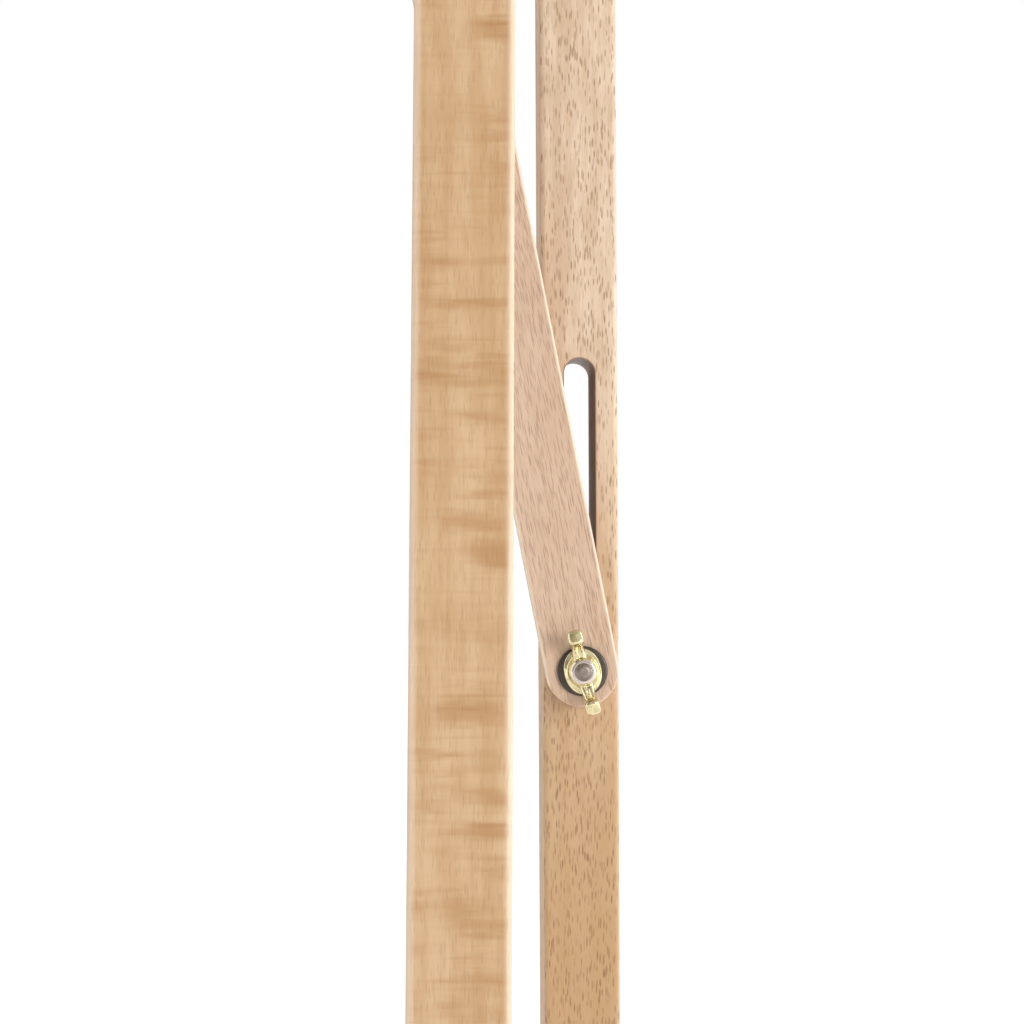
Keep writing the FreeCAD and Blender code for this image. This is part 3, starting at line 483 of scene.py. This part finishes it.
# hub and two wings fused as cast metal: a voxel remesh, then a light smoothing
def wingNutMesh():
    size = wingNut
    outline = [(size["bore"], 0.0), (size["base"] - 0.3, 0.0)]
    outline += corner(size["base"] - 0.3, 0.3, 0.3, -90, 0)
    outline += corner(size["base"] - 0.45, size["rim"], 0.45, 0, 80)
    rise = np.linspace(0, 1, 12)[1:]
    flare = size["neck"] + (size["base"] - 1.1 - size["neck"]) * (1 - rise) ** 2.2
    outline += list(zip(flare, size["rim"] + 0.5 + rise * (size["height"] - size["rim"] - 1.3)))
    outline += corner(size["top"] - 0.35, size["height"] - 0.35, 0.35, 0, 90)
    shelf = size["height"] - size["lipDeep"]
    outline += [(size["lip"] + 0.3, size["height"]), (size["lip"], size["height"] - 0.3),
                (size["lip"], shelf), (size["bore"], shelf)]
    hub = addPiece("nutHub", revolve("nutHub", outline, 96, size["oval"], size["top"], size["base"]))
    wings = [addPiece("nutWing", wingMesh(side)) for side in (1, -1)]
    blank = bpy.data.objects.new("nutBlank", joinMeshes("wingNut", [piece.data for piece in [hub] + wings]))
    bpy.context.scene.collection.objects.link(blank)
    remesh = blank.modifiers.new("cast", "REMESH")
    remesh.mode, remesh.voxel_size = "VOXEL", size["voxel"] * mm
    soften = blank.modifiers.new("soften", "SMOOTH")
    soften.factor, soften.iterations = 0.5, 4
    cast = bpy.data.meshes.new_from_object(blank.evaluated_get(bpy.context.evaluated_depsgraph_get()))
    for piece in [hub, blank] + wings:
        bpy.data.objects.remove(piece)
    # the plating is rubbed off the ring round the bore
    points = np.empty(len(cast.vertices) * 3)
    cast.vertices.foreach_get("co", points)
    x, y, z = points.reshape(-1, 3).T / mm
    radius = np.hypot(y, z)
    ring = np.clip((x - size["rubFrom"]) / 0.5, 0, 1) * np.clip((size["rubOut"] - radius) / 0.5, 0, 1)
    rubbedAndHighlight = cast.attributes.new("rubbedAndHighlight", "FLOAT", "POINT")
    rubbedAndHighlight.data.foreach_set("value", ring.astype(np.float32))
    print("wing nut cast with", len(cast.polygons), "faces")
    return cast


def placeCopy(name, source, matrix, material, body, node):
    mesh = source.copy()
    mesh.transform(matrix)
    piece = addPiece(name, mesh)
    setMaterial(piece, material)
    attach(piece, body)
    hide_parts(node)


bolt = {"head": 6.8, "dome": 3.2, "shank": 2.95, "square": 3.0, "pitch": 1.0, "thread": 0.3,
        "threaded": 18.0, "chamfer": 0.9, "sunk": 1.1}   # the end stops this far below its CAD end


# a carriage bolt on +X: dome, flat underside, square neck, round shank, then a thread whose radius
# falls and rises once per turn, shifted round the shank so that the ridge is a helix.
# without a neck it is a bare rod, threaded all along
def boltMesh(length, neck=None):
    size = bolt
    if neck is None:
        start = size["chamfer"]
        parts = [np.array([(0.01, 0, 0, 0), (size["shank"] - 0.7, 0, 0, 0)])]
    else:
        start = max(neck + 1.0, length - size["threaded"])
        sphere = (size["head"] ** 2 + size["dome"] ** 2) / (2 * size["dome"])
        sweep = np.linspace(0.002, math.asin(size["head"] / sphere), 20)
        domeAlong = sphere * (1 - np.cos(sweep)) - size["dome"]
        parts = [np.stack([sphere * np.sin(sweep), domeAlong, 0 * sweep, 0 * sweep], -1)]
        parts.append(np.array([(size["head"], 0.0, 0, 0), (size["square"] * 1.2, 0.0, 1, 0),
                               (size["square"], 0.02, 1, 0), (size["square"], neck, 1, 0),
                               (size["shank"], neck + 0.6, 0, 0)]))
    along = np.linspace(start, length - 0.01, int((length - start) * 14))
    cut = np.clip((along - start) / 1.5, 0, 1)
    ease = size["shank"] - np.clip(along - (length - size["chamfer"]), 0, 9) * 0.75
    parts.append(np.stack([ease, along, 0 * along, cut], -1))
    parts.append(np.array([(1.2, length, 0, 0), (0.01, length, 0, 0)]))
    radius, along, square, cut = np.concatenate(parts).T[:, :, None]
    angle = np.linspace(0, 2 * math.pi, 64, endpoint=False)[None, :]
    boxy = np.minimum(1.32, 1 / np.maximum(np.abs(np.cos(angle)), np.abs(np.sin(angle))))
    phase = (along / size["pitch"] - angle / (2 * math.pi)) % 1.0
    ridge = np.abs(2 * phase - 1)
    reach = radius * (1 + square * (boxy - 1)) - cut * size["thread"] * ridge
    points = np.stack([along + 0 * angle, reach * np.cos(angle), reach * np.sin(angle)], -1) * mm
    return gridPiece("bolt", points)


# a flat ring with softly rounded outer and inner rims
def washerMesh(bore, outer=8.2, thick=1.5):
    outline = [(bore + 0.15, 0.0)] + corner(outer - 0.3, 0.3, 0.3, -90, 0)
    outline += corner(outer - 0.45, thick - 0.45, 0.45, 0, 90)
    outline += corner(bore + 0.2, thick - 0.2, 0.2, 90, 180) + [(bore, 0.15)]
    return revolve("washer", outline, 96)


# every hole and pin is where its joint is; along the axis each piece starts at its CAD box
def alongAxis(node, axis, point, far=False):
    low, high = (np.array(end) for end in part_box(node))
    axis = np.array(axis, float)
    main = int(np.argmax(np.abs(axis)))
    forward = (axis[main] > 0) != far
    edge = low[main] if forward else high[main]
    return np.array(point, float) + axis * (edge - point[main]) / axis[main]


wingSource = wingNutMesh()
sets = [
    # joint, spin of its wing nut, bolt node and body, neck, washers as (node, body, bore)
    ("clamp_nut_turn", 14, "clamp", "strut", 1.5, [("clamp_washer", 3.05), ("clamp_back_washer", 4.5)]),
    ("pivot_nut_turn", 35, "pivot", "frame", 3.5, [("pivot_washer", 3.05)]),
    ("tray_nut_turn", 20, "tray", "tray", 1.5, [("tray_washer", 3.05), ("tray_back_washer", 4.5)]),
    ("mast_nut_turn", 60, "mast", "frame", 3.5, [("mast_washer", 3.05)]),
]
for jointName, spin, stem, body, neck, washers in sets:
    joint = joints[jointName]
    axis, point = np.array(joint["axis"]), np.array(joint["pos_m"])
    nutNode = stem + "_wing_nut"
    placeCopy(stem + "_wing", wingSource, seat(alongAxis(nutNode, axis, point), axis, math.radians(spin)),
              brass, joint["child"], nutNode)
    boltNode = stem + "_bolt"
    pole = alongAxis(boltNode, axis, point)
    tip = alongAxis(boltNode, axis, point, far=True)
    length = np.linalg.norm(tip - pole) / mm - bolt["dome"] - bolt["sunk"]
    placeCopy(stem + "_carriage_bolt", boltMesh(length, neck), seat(pole + axis * bolt["dome"] * mm, axis),
              boltSteel, body, boltNode)
    for washerNode, bore in washers:
        start = alongAxis(washerNode, axis, point)
        placeCopy(washerNode + "_ring", washerMesh(bore), seat(start, axis), darkSteel, body, washerNode)

# the thumb screw: the same wings on a rod that reaches in through the clamp's block
thumbScrew = {"clear": 1.75, "spin": 75}      # mm from the block to its wings, and their turn in degrees
joint = joints["top_clamp_screw_turn"]
axis = np.array(joint["axis"])
tip = alongAxis("top_clamp_thumb_screw", axis, joint["pos_m"])
hubGap = (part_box("top_clamp_block")[1][0] - tip[0]) / mm + thumbScrew["clear"]
wings = wingSource.copy()
wings.transform(Matrix.Translation((hubGap * mm, 0, 0)))
rod = boltMesh(hubGap + wingNut["height"] - bolt["sunk"])
placeCopy("thumb_screw", joinMeshes("thumbScrew", [wings, rod]),
          seat(tip, axis, math.radians(thumbScrew["spin"])), brass, joint["child"],
          "top_clamp_thumb_screw")
print("bolts, washers and wing nuts made")


studio = {
    "floorSize": 14.0,
    "floorGlow": 0.62,       # light of the floor itself, less round the easel so that its shadows show
    "skyLow": 0.13,          # light of the surroundings on the dark side
    "skyHigh": 0.80,         # and on the bright side
    "skyTowards": (0.25, 0.85, 0.40),
    "keyPower": 11.6,
    "rimPower": 13.5,
    "fillPower": 1.5,
    "frontPower": 50.0,       # from a broad panel, so that flat metal does not glare in it
    "viewAzimuth": 88.115,
    "viewHeight": 0.330,
    "viewDistance": 1.0190,
    "viewSide": 0.0225,      # the slotted leg's face stands this far right of the axis
    "lens": 108.6,
}


def softLight(name, place, target, size, power, colour):
    lamp = bpy.data.lights.new(name, "AREA")
    lamp.shape = "RECTANGLE"
    lamp.size, lamp.size_y = size
    lamp.energy = power
    lamp.color = colour
    holder = bpy.data.objects.new(name, lamp)
    bpy.context.scene.collection.objects.link(holder)
    aim(holder, place, target)


def aim(thing, place, target):
    ahead = np.array(target, float) - np.array(place, float)
    ahead /= np.linalg.norm(ahead)
    side = np.cross(ahead, (0.0, 0.0, 1.0))
    side /= np.linalg.norm(side)
    upward = np.cross(side, ahead)
    turn = np.eye(4)
    turn[:3, 0], turn[:3, 1], turn[:3, 2], turn[:3, 3] = side, upward, -ahead, place
    thing.matrix_world = Matrix(turn.tolist())


# the floor: flat, pale and matt, with a light of its own that fades round the easel
def makeFloor():
    half = studio["floorSize"] / 2
    mesh = bpy.data.meshes.new("studioFloor")
    corners = [(-half, -half, 0), (half, -half, 0), (half, half, 0), (-half, half, 0)]
    mesh.from_pydata(corners, [], [(0, 1, 2, 3)])
    floor = bpy.data.objects.new("studioFloor", mesh)
    bpy.context.scene.collection.objects.link(floor)
    material, wire, surface = newMaterial("floorPaper", {
        "Roughness": 0.9, "Specular IOR Level": 0.1, "Base Color": rgb(0.86, 0.86, 0.86),
        "Emission Strength": studio["floorGlow"]})
    place = wire.node("ShaderNodeTexCoord", {}, {}, 3)
    away = wire.node("ShaderNodeVectorMath", {"operation": "LENGTH"}, {0: place}, 1)
    lit = away.between(0.25, 1.1).blend(rgb(0.6, 0.6, 0.6), rgb(1, 1, 1))
    feed(lit, surface, "Emission Color")
    mesh.materials.append(material)


# the surroundings: plain white to look at, brighter on one side as light
def makeWorld():
    world = bpy.data.worlds.new("studioWorld")
    world.use_nodes = True
    wire = Wire(world.node_tree)
    background = world.node_tree.nodes["Background"]
    background.inputs["Color"].default_value = rgb(1, 1, 1)
    ahead = wire.node("ShaderNodeTexCoord", {}, {}, 0)
    towards = wire.node("ShaderNodeVectorMath", {"operation": "DOT_PRODUCT"},
                        {0: ahead, 1: studio["skyTowards"]}, 1)
    sky = studio["skyLow"] + towards.between(-0.5, 0.75) * (studio["skyHigh"] - studio["skyLow"])
    seen = wire.node("ShaderNodeLightPath", {}, {}, 0)
    feed(seen + (1 - seen) * sky, background, "Strength")
    bpy.context.scene.world = world


makeFloor()
makeWorld()
bpy.context.scene.view_settings.view_transform = "Standard"

# camera: level, square to its azimuth, the slotted leg a little right of the axis
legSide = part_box("rear_leg")[1][0]
legY = hinge[1] + (hinge[2] - studio["viewHeight"]) * legSlot["slope"]
turn = math.radians(studio["viewAzimuth"])
outward = np.array([math.sin(turn), -math.cos(turn), 0.0])
rightward = np.array([math.cos(turn), math.sin(turn), 0.0])
faceCentre = np.array([legSide, legY, studio["viewHeight"]])
eye = faceCentre - rightward * studio["viewSide"] + outward * studio["viewDistance"]
camera = bpy.data.cameras.new("studioCamera")
camera.lens = studio["lens"]
camera.sensor_width = 36.0
camera.clip_start = 0.02
camera.clip_end = 60.0
cameraObject = bpy.data.objects.new("studioCamera", camera)
bpy.context.scene.collection.objects.link(cameraObject)
aim(cameraObject, eye, eye - outward)
bpy.context.scene.camera = cameraObject

# each panel: how far it stands outward, to the right and up from the leg's face, how far above that
# face it aims, its size and its colour
panels = {
    "key": (1.5, 0.95, 0.15, 0.0, (0.42, 0.5), (1.0, 0.985, 0.965)),
    "rim": (-0.1, 1.5, 0.2, 0.0, (0.5, 2.4), (1, 1, 1)),
    "fill": (1.8, -1.6, 0.4, 0.0, (1.4, 1.8), (1, 1, 1)),
    "front": (-0.3, -3.0, 1.0, 0.5, (3.2, 4.0), (1, 1, 1)),
}
for name, (out, right, up, aimUp, size, colour) in panels.items():
    place = faceCentre + outward * out + rightward * right + np.array([0, 0, up])
    target = faceCentre + np.array([0, 0, aimUp])
    softLight(name + "Panel", place, target, size, studio[name + "Power"], colour)
print("studio, lights and camera set")
